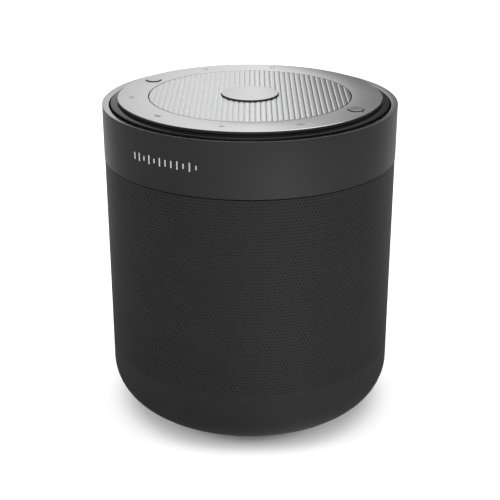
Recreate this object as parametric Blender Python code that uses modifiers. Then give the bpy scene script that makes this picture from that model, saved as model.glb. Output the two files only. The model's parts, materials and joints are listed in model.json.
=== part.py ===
"""A portable wireless speaker: a round perforated cup, a control band with a metal top, and
the electronics, battery, driver and passive radiator that it holds. The origin is on the
floor under the middle, +Z is up, and -Y is the front."""

import math

import bmesh
import bpy

MM = 0.001

# Outside form
BODY_RADIUS = 50.0 * MM
BODY_HEIGHT = 108.7 * MM  # flat underside to the top edge of the band
FOOT_LIFT = 1.2 * MM  # height of the underside above the floor
BASE_ROUND = 14.65 * MM  # radius of the rounded lower edge
BAND_HEIGHT = 18.6 * MM
WALL = 1.8 * MM
GAP = 0.3 * MM  # between pieces that touch
SEAM = 0.5 * MM  # groove between the band and the cup
CUP_INSET = 0.15 * MM  # the perforated wall stands back from the band

# Top
RIM_WIDTH = 2.25 * MM  # bright slanted edge of the band
RIM_DROP = 0.45 * MM
PLATE_RADIUS = 44.77 * MM
PLATE_RISE = 1.7 * MM  # plate above the band's edge
PLATE_THICKNESS = 1.0 * MM
PLATE_BEVEL = 0.15 * MM
DISC_RADIUS = 34.2 * MM
BEZEL_RADIUS = 47.15 * MM
BEZEL_EDGE = 0.3 * MM

# Buttons
PLAY_RADIUS = 9.6 * MM
PLAY_RISE = 0.5 * MM
VOLUME_RADIUS = 2.55 * MM
VOLUME_RISE = 0.35 * MM
VOLUME_CIRCLE = 39.6 * MM
VOLUME_ANGLES = {"volume_up_button": -30.0, "volume_down_button": 150.0}
BUTTON_LIP = 1.0 * MM  # flange that keeps a button under the plate
STEM_END = 108.6 * MM

# Rear sockets
PORT_HEIGHT = 100.6 * MM
PORT_SIZE = (26.0 * MM, 10.0 * MM)
PORT_FACE = 47.95 * MM
CHARGE_X = -5.5 * MM
CHARGE_SIZE = (9.0 * MM, 3.2 * MM, 7.3 * MM)
AUX_X = 6.5 * MM
AUX_RADIUS = 2.9 * MM
AUX_BORE = 1.75 * MM

# Boards, battery and tray
CONTROL_BOARD = (42.8 * MM, 1.2 * MM, 106.0 * MM)  # radius, thickness, underside
MAIN_BOARD = (44.0 * MM, 71.0 * MM, 1.2 * MM)
MAIN_BOARD_Z = 96.0 * MM
BATTERY = (56.0 * MM, 36.0 * MM, 7.4 * MM)
TRAY_RADIUS = 46.9 * MM
TRAY_Z = 86.0 * MM
FLANGE_RADIUS = 41.5 * MM
FLANGE = 2.0 * MM

# Sealed speaker box, driver and passive radiator
BOX_RADIUS = 44.0 * MM
BOX_BOTTOM = 17.0 * MM
BOX_TOP = 66.0 * MM
BOX_WALL = 2.2 * MM
DRIVER_HOLE = 27.2 * MM
RADIATOR_HOLE = 26.0 * MM
COIL_RADIUS = 8.0 * MM
DEFLECTOR_TIP = 71.0 * MM

# Base
BASE_RADIUS = 34.3 * MM
BASE_THICKNESS = 3.8 * MM
FOOT_RING = (20.0 * MM, 27.0 * MM)
POST_CIRCLE = 30.5 * MM
UPPER_POST_CIRCLE = 38.0 * MM
POST_RADIUS = 3.0 * MM
SCREW_SHANK = 1.1 * MM
SCREW_HEAD = 2.1 * MM
THIRDS = (90.0, 210.0, 330.0)

# Smoothness of the turned pieces
STEPS_OUTER = 48
STEPS_INNER = 24
STEPS_SMALL = 12

RIM_Z = FOOT_LIFT + BODY_HEIGHT
BAND_Z = RIM_Z - BAND_HEIGHT
PLATE_TOP = RIM_Z + PLATE_RISE
PLATE_UNDER = PLATE_TOP - PLATE_THICKNESS
BOARD_TOP = CONTROL_BOARD[2] + CONTROL_BOARD[1]

# name: (base colour, metallic, roughness)
FINISHES = {
    "satin_black_plastic": ((0.020, 0.020, 0.021), 0.0, 0.42),
    "black_anodised": ((0.030, 0.030, 0.031), 0.6, 0.38),
    "gloss_black_plastic": ((0.012, 0.012, 0.012), 0.0, 0.18),
    "satin_aluminium": ((0.62, 0.62, 0.62), 1.0, 0.30),
    "rubber": ((0.025, 0.025, 0.025), 0.0, 0.75),
    "silicone": ((0.45, 0.45, 0.44), 0.0, 0.60),
    "acoustic_cloth": ((0.012, 0.012, 0.012), 0.0, 0.95),
    "inner_plastic": ((0.06, 0.06, 0.065), 0.0, 0.50),
    "circuit_board": ((0.02, 0.11, 0.05), 0.0, 0.45),
    "battery_wrap": ((0.05, 0.13, 0.32), 0.0, 0.40),
    "steel": ((0.55, 0.55, 0.54), 1.0, 0.32),
    "ferrite": ((0.05, 0.05, 0.052), 0.0, 0.55),
    "paper_cone": ((0.035, 0.034, 0.033), 0.0, 0.85),
    "copper": ((0.72, 0.36, 0.20), 1.0, 0.30),
    "brass": ((0.70, 0.55, 0.28), 1.0, 0.35),
}


def clear_scene():
    for obj in list(bpy.data.objects):
        bpy.data.objects.remove(obj, do_unlink=True)


def new_collection(name):
    collection = bpy.data.collections.new(name)
    bpy.context.scene.collection.children.link(collection)
    return collection


def make_material(node, finish):
    colour, metallic, roughness = FINISHES[finish]
    material = bpy.data.materials.new(node + "_" + finish)
    material.use_nodes = True
    shader = material.node_tree.nodes["Principled BSDF"]
    shader.inputs["Base Color"].default_value = (*colour, 1.0)
    shader.inputs["Metallic"].default_value = metallic
    shader.inputs["Roughness"].default_value = roughness
    return material


def place(obj, finish, body=None):
    """Puts a finished object in the parts' collection, under its moving body if it has one."""
    parts.objects.link(obj)
    obj.data.materials.append(make_material(obj.name, finish))
    if body is not None:
        obj.parent = body
        obj.location -= body.location
    return obj


def as_cutter(obj):
    cutters.objects.link(obj)
    obj.hide_render = True
    obj.display_type = "WIRE"
    return obj


def moving_body(name, x, y, z):
    """An empty on a joint's axis, which the pieces that move together hang from."""
    empty = bpy.data.objects.new(name, None)
    empty.location = (x, y, z)
    parts.objects.link(empty)
    return empty


def turned_object(name, outline, steps, location=(0, 0, 0)):
    """A turned solid. The outline is (radius, height) points running down the outer side. It
    starts and ends on the axis, or is a closed loop that stays off it."""
    mesh = bpy.data.meshes.new(name)
    count = len(outline)
    links = [(i, i + 1) for i in range(count - 1)]
    if outline[0][0] > 0:
        links.append((count - 1, 0))
    mesh.from_pydata([(r, 0, z) for r, z in outline], links, [])
    obj = bpy.data.objects.new(name, mesh)
    obj.location = location
    screw = obj.modifiers.new("turn", "SCREW")
    screw.axis = "Z"
    screw.angle = math.tau
    screw.steps = steps
    screw.render_steps = steps
    screw.use_merge_vertices = True
    screw.merge_threshold = 0.00001
    screw.use_smooth_shade = True
    return obj


def turned(name, outline, finish, steps=STEPS_INNER, location=(0, 0, 0), body=None):
    return place(turned_object(name, outline, steps, location), finish, body)


def ring(inner, outer, low, high):
    """Outline of a plain washer or tube."""
    return [(outer, high), (outer, low), (inner, low), (inner, high)]


def plug(radius, low, high):
    """Outline of a plain solid cylinder."""
    return [(0, high), (radius, high), (radius, low), (0, low)]


def arc(centre, radius, start, end, count):
    """Points on an arc in the outline's plane, from one angle to another in degrees."""
    angles = [math.radians(start + (end - start) * i / count) for i in range(count + 1)]
    return [(centre[0] + radius * math.cos(a), centre[1] + radius * math.sin(a)) for a in angles]


def bowl(width, depth, rim):
    """Points down the side of a bowl, from its rim to the middle of its underside."""
    steps = 6
    turns = [(i / steps, math.sin(math.pi / 2 * i / steps)) for i in range(steps + 1)]
    return [(width * (1 - along), rim - depth * down) for along, down in turns]


def block_object(name, size, centre, radius=0.0, along=None, segments=4):
    """A box with the four edges along one axis rounded."""
    mesh = bpy.data.meshes.new(name)
    shape = bmesh.new()
    bmesh.ops.create_cube(shape, size=1.0)
    bmesh.ops.scale(shape, vec=size, verts=shape.verts)
    if radius:
        axis = "XYZ".index(along)
        edges = [e for e in shape.edges if abs((e.verts[0].co - e.verts[1].co)[axis]) > size[axis] / 2]
        bmesh.ops.bevel(
            shape, geom=edges, offset=radius, segments=segments, affect="EDGES", profile=0.5
        )
    shape.to_mesh(mesh)
    shape.free()
    obj = bpy.data.objects.new(name, mesh)
    obj.location = centre
    return obj


def block(name, size, centre, finish, radius=0.0, along=None, body=None):
    return place(block_object(name, size, centre, radius, along), finish, body)


def cut(obj, cutter):
    boolean = obj.modifiers.new("cut_" + cutter.name, "BOOLEAN")
    boolean.operation = "DIFFERENCE"
    boolean.solver = "EXACT"
    boolean.object = cutter


def around(radius, degrees, height=0.0):
    angle = math.radians(degrees)
    return (radius * math.cos(angle), radius * math.sin(angle), height)


def drill(obj, name, outline, places, steps=STEPS_SMALL):
    """Cuts the same turned hole at each place."""
    for number, spot in enumerate(places, 1):
        cut(obj, as_cutter(turned_object(f"{name}_{number}", outline, steps, spot)))


def screw_outline(head_top, head_under, tip, upward=False):
    """A pan head and its shank. Upward means that the screw is driven from below."""
    if upward:
        return [
            (0, tip),
            (SCREW_SHANK, tip),
            (SCREW_SHANK, head_under),
            (SCREW_HEAD, head_under),
            (SCREW_HEAD, head_top),
            (0, head_top),
        ]
    return [
        (0, head_top),
        (SCREW_HEAD, head_top),
        (SCREW_HEAD, head_under),
        (SCREW_SHANK, head_under),
        (SCREW_SHANK, tip),
        (0, tip),
    ]


def build_cup():
    """The perforated cup and the cloth behind its wall. The perforation is a surface finish."""
    outer = BODY_RADIUS - CUP_INSET
    centre = (outer - BASE_ROUND, FOOT_LIFT + BASE_ROUND)
    top = BAND_Z - SEAM
    opening = BASE_RADIUS + GAP
    outline = [(outer, top)]
    outline += arc(centre, BASE_ROUND, 0, -90, 6)
    outline += [(opening, FOOT_LIFT), (opening, FOOT_LIFT + WALL)]
    outline += arc(centre, BASE_ROUND - WALL, -90, 0, 6)
    outline += [(outer - WALL, top)]
    turned("speaker_shell", outline, "satin_black_plastic", STEPS_OUTER)
    cloth = outer - WALL - GAP
    low = BOX_BOTTOM - GAP
    turned("dust_mesh", ring(cloth - GAP, cloth, low, top - GAP), "acoustic_cloth")


def build_band():
    """The band round the controls, with its slanted bright edge, inner shelf and flange."""
    inner = BODY_RADIUS - RIM_WIDTH
    shelf = BEZEL_RADIUS - 3.0 * MM
    shelf_top = BOARD_TOP
    shelf_under = shelf_top - 2.2 * MM
    outline = [
        (BODY_RADIUS, RIM_Z),
        (BODY_RADIUS, BAND_Z),
        (FLANGE_RADIUS, BAND_Z),
        (FLANGE_RADIUS, BAND_Z + FLANGE),
        (inner, BAND_Z + FLANGE),
        (inner, shelf_under),
        (shelf, shelf_under),
        (shelf, shelf_top),
        (inner, shelf_top),
        (inner, RIM_Z - RIM_DROP),
    ]
    band = turned("upper_band", outline, "black_anodised", STEPS_OUTER)
    width, height = PORT_SIZE
    window = (width, 12.0 * MM, height)
    middle = (0, BODY_RADIUS - 2.0 * MM, PORT_HEIGHT)
    port = block_object("port_window", window, middle, height * 0.49, "Y", 6)
    cut(band, as_cutter(port))
    clear = plug(SCREW_SHANK + GAP, BAND_Z - 1.0 * MM, BAND_Z + FLANGE + 1.0 * MM)
    drill(band, "flange_hole", clear, [around(UPPER_POST_CIRCLE + 5.8 * MM, a) for a in THIRDS])


def build_top():
    """The black bezel, the metal plate and the fluted disc inside it."""
    recess = PLATE_RADIUS + GAP
    deck = PLATE_UNDER - GAP
    cone_low = RIM_Z + 0.15 * MM
    cone_high = deck + 0.2 * MM
    hole = PLAY_RADIUS + BUTTON_LIP + 0.6 * MM
    outline = [
        (BEZEL_RADIUS - BEZEL_EDGE, cone_low),
        (BEZEL_RADIUS, cone_low - BEZEL_EDGE),
        (BEZEL_RADIUS, BOARD_TOP + GAP),
        (BEZEL_RADIUS - 2.65 * MM, BOARD_TOP + GAP),
        (BEZEL_RADIUS - 2.65 * MM, deck - 1.4 * MM),
        (hole, deck - 1.4 * MM),
        (hole, deck),
        (recess, deck),
        (recess, cone_high),
    ]
    bezel = turned("top_bezel", outline, "gloss_black_plastic", STEPS_OUTER)

    disc_hole = DISC_RADIUS + GAP
    outline = [
        (PLATE_RADIUS - PLATE_BEVEL, PLATE_TOP),
        (PLATE_RADIUS, PLATE_TOP - PLATE_BEVEL),
        (PLATE_RADIUS, PLATE_UNDER),
        (disc_hole, PLATE_UNDER),
        (disc_hole, PLATE_TOP),
    ]
    plate = turned("top_plate", outline, "satin_aluminium", STEPS_OUTER)
    disc = ring(PLAY_RADIUS + GAP, DISC_RADIUS, PLATE_UNDER, PLATE_TOP)
    turned("fluted_disc", disc, "satin_aluminium", STEPS_OUTER)

    spots = [around(VOLUME_CIRCLE, angle) for angle in VOLUME_ANGLES.values()]
    lip_room = VOLUME_RADIUS + BUTTON_LIP + 0.5 * MM
    drill(bezel, "lip_room", plug(lip_room, 105.0 * MM, PLATE_TOP), spots, 20)
    drill(plate, "button_hole", plug(VOLUME_RADIUS + GAP, 105.0 * MM, 115.0 * MM), spots, 20)


def button_outline(radius, rise, stem):
    """A cap with a rounded edge, a lip under the plate and a stem down to its dome."""
    top = PLATE_TOP + rise
    edge = 0.2 * MM
    lip_top = PLATE_UNDER - 0.4 * MM
    lip_under = lip_top - 0.8 * MM
    return [
        (0, top),
        (radius - edge, top),
        (radius, top - edge),
        (radius, lip_top),
        (radius + BUTTON_LIP, lip_top),
        (radius + BUTTON_LIP, lip_under),
        (stem, lip_under),
        (stem, STEM_END),
        (0, STEM_END),
    ]


def dome_outline(stem):
    """A silicone dome between a stem and the control board."""
    low = BOARD_TOP + GAP
    high = STEM_END - GAP
    return [(0, high), (stem, high), (stem + 0.8 * MM, low), (0, low)]


def build_buttons():
    """The play button and the two volume buttons. Each is pressed straight down."""
    stem = 2.5 * MM
    body = moving_body("play_button_body", 0, 0, PLATE_TOP)
    outline = button_outline(PLAY_RADIUS, PLAY_RISE, stem)
    turned("play_button", outline, "satin_aluminium", STEPS_INNER, body=body)
    turned("play_dome", dome_outline(stem), "silicone", STEPS_SMALL)

    stem = 1.5 * MM
    for name, angle in VOLUME_ANGLES.items():
        x, y, _ = around(VOLUME_CIRCLE, angle)
        body = moving_body(name + "_body", x, y, PLATE_TOP)
        outline = button_outline(VOLUME_RADIUS, VOLUME_RISE, stem)
        turned(name, outline, "satin_aluminium", 20, (x, y, 0), body)
        dome = name.replace("button", "dome")
        turned(dome, dome_outline(stem), "silicone", STEPS_SMALL, (x, y, 0))


def build_electronics():
    """The two boards, the radio module, the battery and the tray that holds them."""
    radius, thickness, under = CONTROL_BOARD
    turned("control_board", plug(radius, under, under + thickness), "circuit_board")
    width, depth, thickness = MAIN_BOARD
    middle = (0, 41.0 * MM - depth / 2, MAIN_BOARD_Z + thickness / 2)
    block("main_board", MAIN_BOARD, middle, "circuit_board")
    top = MAIN_BOARD_Z + thickness + GAP
    can = (16.0 * MM, 12.0 * MM, 2.0 * MM)
    block("radio_module", can, (9.0 * MM, -18.0 * MM, top + can[2] / 2), "steel", 0.6 * MM, "Z")
    floor = TRAY_Z + 1.6 * MM
    middle = (0, 0, floor + GAP + BATTERY[2] / 2)
    block("battery_pack", BATTERY, middle, "battery_wrap", 3.0 * MM, "X")

    high = BAND_Z - GAP
    outline = [
        (0, floor),
        (TRAY_RADIUS - WALL, floor),
        (TRAY_RADIUS - WALL, high - 1.6 * MM),
        (FLANGE_RADIUS, high - 1.6 * MM),
        (FLANGE_RADIUS, high),
        (TRAY_RADIUS, high),
        (TRAY_RADIUS, TRAY_Z),
        (0, TRAY_Z),
    ]
    tray = turned("electronics_tray", outline, "inner_plastic", STEPS_OUTER)
    spots = [around(UPPER_POST_CIRCLE + 5.8 * MM, a) for a in THIRDS]
    drill(tray, "tray_hole", plug(SCREW_SHANK + GAP, high - 2.6 * MM, high + 1.0 * MM), spots)
    head_under = BAND_Z + FLANGE + GAP
    outline = screw_outline(head_under + 1.4 * MM, head_under, high - 1.4 * MM)
    for number, (x, y, _) in enumerate(spots, 1):
        turned(f"tray_screw_{number}", outline, "steel", STEPS_SMALL, (x, y, 0))


def build_ports():
    """The rear panel set into the band, with the charging socket and the audio jack."""
    width, height = PORT_SIZE
    thickness = 1.6 * MM
    size = (width - 2 * GAP, thickness, height - 2 * GAP)
    middle = (0, PORT_FACE - thickness / 2, PORT_HEIGHT)
    panel = block_object("port_panel", size, middle, size[2] * 0.49, "Y", 6)
    place(panel, "satin_black_plastic")
    wide, tall, deep = CHARGE_SIZE
    face = PORT_FACE - 0.2 * MM
    hole = (wide + 2 * GAP, 6.0 * MM, tall + 2 * GAP)
    middle = (CHARGE_X, PORT_FACE, PORT_HEIGHT)
    cut(panel, as_cutter(block_object("charge_hole", hole, middle, hole[2] * 0.49, "Y")))
    middle = (CHARGE_X, face - deep / 2, PORT_HEIGHT)
    socket = block_object("charging_socket", (wide, deep, tall), middle, tall * 0.49, "Y")
    place(socket, "steel")
    mouth = (wide - 0.6 * MM, deep, tall - 0.6 * MM)
    middle = (CHARGE_X, face - deep / 2 + 1.0 * MM, PORT_HEIGHT)
    cut(socket, as_cutter(block_object("charge_mouth", mouth, middle, mouth[2] * 0.49, "Y")))

    length = 12.0 * MM
    depth = 10.0 * MM
    outline = [
        (AUX_BORE, 0),
        (AUX_RADIUS, 0),
        (AUX_RADIUS, -length),
        (0, -length),
    ]
    outline = [(0, -depth), (AUX_BORE, -depth)] + outline
    jack = turned_object("aux_socket", outline, 16, (AUX_X, face, PORT_HEIGHT))
    jack.rotation_euler = (-math.pi / 2, 0, 0)
    place(jack, "gloss_black_plastic")
    outline = plug(AUX_RADIUS + GAP, -4.0 * MM, 4.0 * MM)
    hole = turned_object("aux_hole", outline, 16, (AUX_X, PORT_FACE, PORT_HEIGHT))
    hole.rotation_euler = (-math.pi / 2, 0, 0)
    cut(panel, as_cutter(hole))


def build_box():
    """The sealed box, its lid, the posts above it and the cone that spreads the sound."""
    inside = BOX_RADIUS - BOX_WALL
    lid_under = BOX_TOP - BOX_WALL
    outline = [
        (BOX_RADIUS, lid_under - GAP),
        (BOX_RADIUS, BOX_BOTTOM),
        (RADIATOR_HOLE, BOX_BOTTOM),
        (RADIATOR_HOLE, BOX_BOTTOM + BOX_WALL),
        (inside, BOX_BOTTOM + BOX_WALL),
        (inside, lid_under - GAP),
    ]
    turned("enclosure_body", outline, "inner_plastic")
    lid = ring(DRIVER_HOLE, BOX_RADIUS, lid_under, BOX_TOP)
    turned("enclosure_lid", lid, "inner_plastic")
    high = TRAY_Z - GAP
    for number, angle in enumerate(THIRDS, 1):
        spot = around(UPPER_POST_CIRCLE, angle)
        post = plug(POST_RADIUS, BOX_TOP + GAP, high)
        turned(f"upper_post_{number}", post, "inner_plastic", STEPS_SMALL, spot)

    width = 30.0 * MM
    depth = high - DEFLECTOR_TIP
    outer = bowl(width, depth, high)
    inner = bowl(width - WALL, depth - WALL, high)
    turned("sound_deflector", inner[::-1] + outer, "inner_plastic")


def build_driver():
    """The full-range driver. The cone, dust cap and coil move together along the axis."""
    seat = BOX_TOP + GAP
    foam = 0.6 * MM
    turned("driver_gasket", ring(DRIVER_HOLE + GAP, 31.0 * MM, seat, seat + foam), "rubber")
    flange = seat + foam + GAP
    top = flange + 1.4 * MM
    roll_height = top - 0.6 * MM
    yoke_gap = COIL_RADIUS + 0.7 * MM
    outline = [
        (31.0 * MM, top),
        (31.0 * MM, flange),
        (26.6 * MM, flange),
        (25.6 * MM, 60.0 * MM),
        (18.0 * MM, 51.6 * MM),
        (18.0 * MM, 50.0 * MM),
        (yoke_gap, 50.0 * MM),
        (yoke_gap, 51.2 * MM),
        (16.6 * MM, 51.2 * MM),
        (16.6 * MM, 52.2 * MM),
        (24.4 * MM, 60.6 * MM),
        (25.4 * MM, top - 1.0 * MM),
        (27.6 * MM, top - 1.0 * MM),
        (27.6 * MM, top),
    ]
    basket = turned("driver_basket", outline, "steel")
    for number in range(2):
        size = (12.0 * MM, 70.0 * MM, 6.0 * MM)
        window = block_object(f"basket_window_{number + 1}", size, (0, 0, 57.0 * MM))
        window.rotation_euler = (0, 0, math.radians(45 + 90 * number))
        cut(basket, as_cutter(window))
    spots = [around(29.3 * MM, 45 + 90 * i) for i in range(4)]
    drill(basket, "flange_slot", plug(SCREW_SHANK + GAP, flange - 1.0 * MM, top + 1.0 * MM), spots)
    gasket = bpy.data.objects["driver_gasket"]
    lid = bpy.data.objects["enclosure_lid"]
    drill(gasket, "gasket_hole", plug(SCREW_SHANK + GAP, seat - 0.2 * MM, flange), spots)
    deep = plug(SCREW_SHANK + GAP, BOX_TOP - 1.6 * MM, BOX_TOP + 1.0 * MM)
    drill(lid, "lid_hole", deep, spots)
    outline = screw_outline(top + GAP + 1.2 * MM, top + GAP, BOX_TOP - 1.2 * MM)
    for number, (x, y, _) in enumerate(spots, 1):
        turned(f"driver_screw_{number}", outline, "steel", STEPS_SMALL, (x, y, 0))

    washer_top = 50.0 * MM - GAP
    washer_under = washer_top - 2.0 * MM
    turned("magnet_top_plate", ring(yoke_gap, 17.0 * MM, washer_under, washer_top), "steel")
    magnet_under = washer_under - GAP - 5.6 * MM
    magnet = ring(COIL_RADIUS + 2.4 * MM, 18.0 * MM, magnet_under, washer_under - GAP)
    turned("ring_magnet", magnet, "ferrite")
    yoke_top = magnet_under - GAP
    pole = COIL_RADIUS - 0.7 * MM
    outline = [
        (0, washer_top),
        (pole, washer_top),
        (pole, yoke_top),
        (16.5 * MM, yoke_top),
        (16.5 * MM, yoke_top - 2.5 * MM),
        (0, yoke_top - 2.5 * MM),
    ]
    turned("pole_piece", outline, "steel")

    body = moving_body("cone_body", 0, 0, 57.0 * MM)
    coil = ring(COIL_RADIUS - 0.4 * MM, COIL_RADIUS + 0.4 * MM, 44.5 * MM, 57.4 * MM)
    turned("voice_coil", coil, "copper", body=body)
    skin = 0.7 * MM
    inner, outer = 8.8 * MM, 22.2 * MM
    low, high = 58.0 * MM, roll_height
    cone = [(outer, high), (outer, high - skin), (inner, low - skin), (inner, low)]
    turned("driver_cone", cone, "paper_cone", body=body)
    radius = 13.0 * MM
    edge = 8.4 * MM
    reach = math.degrees(math.acos(edge / radius))
    centre = (0, 59.0 * MM - radius * math.sin(math.radians(reach)))
    dome = arc(centre, radius, 90, reach, 4)
    inside = arc(centre, radius - skin, reach, 90, 4)
    cap = [(0, centre[1] + radius)] + dome[1:] + inside[:-1] + [(0, centre[1] + radius - skin)]
    turned("dust_cap", cap, "paper_cone", body=body)

    turned("driver_spider", ring(9.6 * MM, 16.0 * MM, 53.0 * MM, 53.5 * MM), "acoustic_cloth")
    inner, outer = 22.6 * MM, 27.2 * MM
    centre = ((inner + outer) / 2, roll_height)
    roll = arc(centre, (outer - inner) / 2, 180, 0, 5)
    under = arc(centre, (outer - inner) / 2 - skin, 0, 180, 5)
    turned("driver_surround", roll + under, "rubber")


def build_radiator():
    """The passive radiator in the floor of the box: a weighted plate in a rubber roll."""
    inner, outer = 19.6 * MM, 25.7 * MM
    body = moving_body("radiator_body", 0, 0, BOX_BOTTOM)
    plate = [
        (0, BOX_BOTTOM + 2.4 * MM),
        (inner - 1.0 * MM, BOX_BOTTOM + 2.4 * MM),
        (inner - GAP, BOX_BOTTOM + 1.4 * MM),
        (inner - GAP, BOX_BOTTOM),
        (0, BOX_BOTTOM),
    ]
    turned("radiator_plate", plate, "steel", body=body)
    middle = ((inner + outer) / 2, BOX_BOTTOM + 1.2 * MM)
    half = (outer - inner) / 2
    roll = arc(middle, half, 0, -180, 5)
    inside = arc(middle, half - 0.8 * MM, -180, 0, 5)
    turned("radiator_surround", roll + inside, "rubber")


def build_base():
    """The base cover clamped inside the cup's opening, its posts, screws and rubber foot."""
    flange_under = FOOT_LIFT + WALL + GAP
    top = FOOT_LIFT + BASE_THICKNESS
    groove = FOOT_LIFT + 1.2 * MM
    inner, outer = FOOT_RING
    outline = [
        (0, top),
        (BASE_RADIUS + 2.7 * MM, top),
        (BASE_RADIUS + 2.7 * MM, flange_under),
        (BASE_RADIUS, flange_under),
        (BASE_RADIUS, FOOT_LIFT),
        (outer + GAP, FOOT_LIFT),
        (outer + GAP, groove),
        (inner - GAP, groove),
        (inner - GAP, FOOT_LIFT),
        (0, FOOT_LIFT),
    ]
    cover = turned("base_cover", outline, "satin_black_plastic", STEPS_OUTER)
    bevel = 0.4 * MM
    foot_top = groove - GAP
    outline = [
        (outer, foot_top),
        (outer, bevel),
        (outer - bevel, 0),
        (inner + bevel, 0),
        (inner, bevel),
        (inner, foot_top),
    ]
    turned("rubber_foot", outline, "rubber", STEPS_OUTER)

    seat = FOOT_LIFT + 2.0 * MM
    hole = [
        (0, top + 1.0 * MM),
        (SCREW_SHANK + GAP, top + 1.0 * MM),
        (SCREW_SHANK + GAP, seat),
        (SCREW_HEAD + GAP, seat),
        (SCREW_HEAD + GAP, 0),
        (0, 0),
    ]
    spots = [around(POST_CIRCLE, a) for a in THIRDS]
    drill(cover, "base_hole", hole, spots, 16)
    tip = top + 5.0 * MM
    shank = screw_outline(seat - GAP - 1.4 * MM, seat - GAP, tip, upward=True)
    bore = SCREW_SHANK + GAP
    post = [
        (0, BOX_BOTTOM - GAP),
        (POST_RADIUS, BOX_BOTTOM - GAP),
        (POST_RADIUS, top + GAP),
        (bore, top + GAP),
        (bore, tip + GAP),
        (0, tip + GAP),
    ]
    for number, (x, y, _) in enumerate(spots, 1):
        turned(f"base_screw_{number}", shank, "steel", STEPS_SMALL, (x, y, 0))
        turned(f"lower_post_{number}", post, "brass", STEPS_SMALL, (x, y, 0))


clear_scene()
parts = new_collection("wireless_speaker")
cutters = new_collection("wireless_speaker_cutters")
build_cup()
build_band()
build_top()
build_buttons()
build_electronics()
build_ports()
build_box()
build_driver()
build_radiator()
build_base()
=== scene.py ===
# Portable wireless speaker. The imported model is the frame, and the visible shells, metal top,
# buttons, sockets and base are made here in full detail, with a procedural material on everything.

import json
import math

import bmesh
import bpy
from mathutils import Matrix, Vector


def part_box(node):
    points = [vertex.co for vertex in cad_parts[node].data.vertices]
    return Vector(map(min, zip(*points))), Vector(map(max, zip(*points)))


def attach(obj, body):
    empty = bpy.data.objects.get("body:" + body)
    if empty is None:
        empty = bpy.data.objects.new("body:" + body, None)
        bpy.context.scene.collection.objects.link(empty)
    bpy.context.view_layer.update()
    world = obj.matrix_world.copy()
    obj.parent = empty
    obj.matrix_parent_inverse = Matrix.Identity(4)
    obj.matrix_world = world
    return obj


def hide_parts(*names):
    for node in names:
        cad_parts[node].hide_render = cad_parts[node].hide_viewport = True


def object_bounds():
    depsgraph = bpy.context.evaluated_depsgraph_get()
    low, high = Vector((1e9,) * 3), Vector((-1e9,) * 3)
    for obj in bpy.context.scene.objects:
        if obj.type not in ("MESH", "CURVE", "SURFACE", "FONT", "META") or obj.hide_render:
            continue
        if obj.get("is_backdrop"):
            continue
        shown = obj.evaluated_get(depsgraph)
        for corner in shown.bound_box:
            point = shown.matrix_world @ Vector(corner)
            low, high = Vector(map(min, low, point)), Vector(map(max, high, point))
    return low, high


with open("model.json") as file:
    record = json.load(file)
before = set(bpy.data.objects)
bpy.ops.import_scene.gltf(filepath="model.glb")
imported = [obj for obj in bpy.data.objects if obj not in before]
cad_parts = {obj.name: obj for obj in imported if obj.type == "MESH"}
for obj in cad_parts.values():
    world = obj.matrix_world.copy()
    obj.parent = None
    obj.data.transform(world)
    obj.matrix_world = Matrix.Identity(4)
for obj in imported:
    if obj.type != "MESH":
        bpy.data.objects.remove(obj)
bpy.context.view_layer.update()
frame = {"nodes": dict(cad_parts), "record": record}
mm = 0.001

# Places that several pieces share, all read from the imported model.
bandLow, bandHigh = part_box("upper_band")
shellLow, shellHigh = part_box("speaker_shell")
plateLow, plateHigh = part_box("top_plate")
rimZ = bandHigh.z  # top edge of the band
plateTop = plateHigh.z
bodyRadius = bandHigh.x
front = -math.pi / 2  # angle of the front, where each round piece starts
hair = 0.0005 * mm  # points closer than this are one point
spare = 1.0 * mm  # how far a cutter reaches past what it cuts
print("frame loaded:", len(frame["nodes"]), "nodes")


# Colours, nodes and patterns


def linear(hexColour):
    channels = [int(hexColour[i : i + 2], 16) / 255 for i in (1, 3, 5)]
    channels = [c / 12.92 if c <= 0.04045 else ((c + 0.055) / 1.055) ** 2.4 for c in channels]
    return (*channels, 1.0)


def addNode(tree, kind, values=None, links=None, **settings):
    node = tree.nodes.new("ShaderNode" + kind)
    for name, value in settings.items():
        setattr(node, name, value)
    for socket, value in (values or {}).items():
        node.inputs[socket].default_value = value
    for socket, source in (links or {}).items():
        tree.links.new(source, node.inputs[socket])
    return node


def newMaterial(name, roughness, metallic=0.0, ior=None, **sockets):
    material = bpy.data.materials.new(name)
    material.use_nodes = True
    shader = material.node_tree.nodes["Principled BSDF"]
    shader.inputs["Roughness"].default_value = roughness
    shader.inputs["Metallic"].default_value = metallic
    if ior:
        shader.inputs["IOR"].default_value = ior
    for socket, value in sockets.items():
        shader.inputs[socket].default_value = value
    return material, material.node_tree, shader, objectPlace(material.node_tree)


def objectPlace(tree):
    return addNode(tree, "TexCoord").outputs["Object"]


def calculate(tree, operation, first, second=None):
    # Arithmetic on one output, or between it and another output or a number.
    node = addNode(tree, "Math", links={0: first}, operation=operation)
    if isinstance(second, (int, float)):
        node.inputs[1].default_value = second
    elif second:
        tree.links.new(second, node.inputs[1])
    return node.outputs[0]


def tintBy(tree, shader, factor, darkHex, paleHex, low=0.3, high=0.7):
    # Colour between two hex values, by a pattern's output.
    ramp = addNode(tree, "ValToRGB", links={"Fac": factor})
    for stop, position, hexColour in zip(ramp.color_ramp.elements, (low, high), (darkHex, paleHex)):
        stop.position = position
        stop.color = linear(hexColour)
    tree.links.new(ramp.outputs["Color"], shader.inputs["Base Color"])


def roughnessBy(tree, shader, factor, low, high):
    span = addNode(tree, "MapRange", {"To Min": low, "To Max": high}, {"Value": factor})
    tree.links.new(span.outputs["Result"], shader.inputs["Roughness"])


def reliefBy(tree, shader, factor, depth, strength=1.0):
    values = {"Distance": depth, "Strength": strength}
    bump = addNode(tree, "Bump", values, {"Height": factor})
    tree.links.new(bump.outputs["Normal"], shader.inputs["Normal"])


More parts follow.
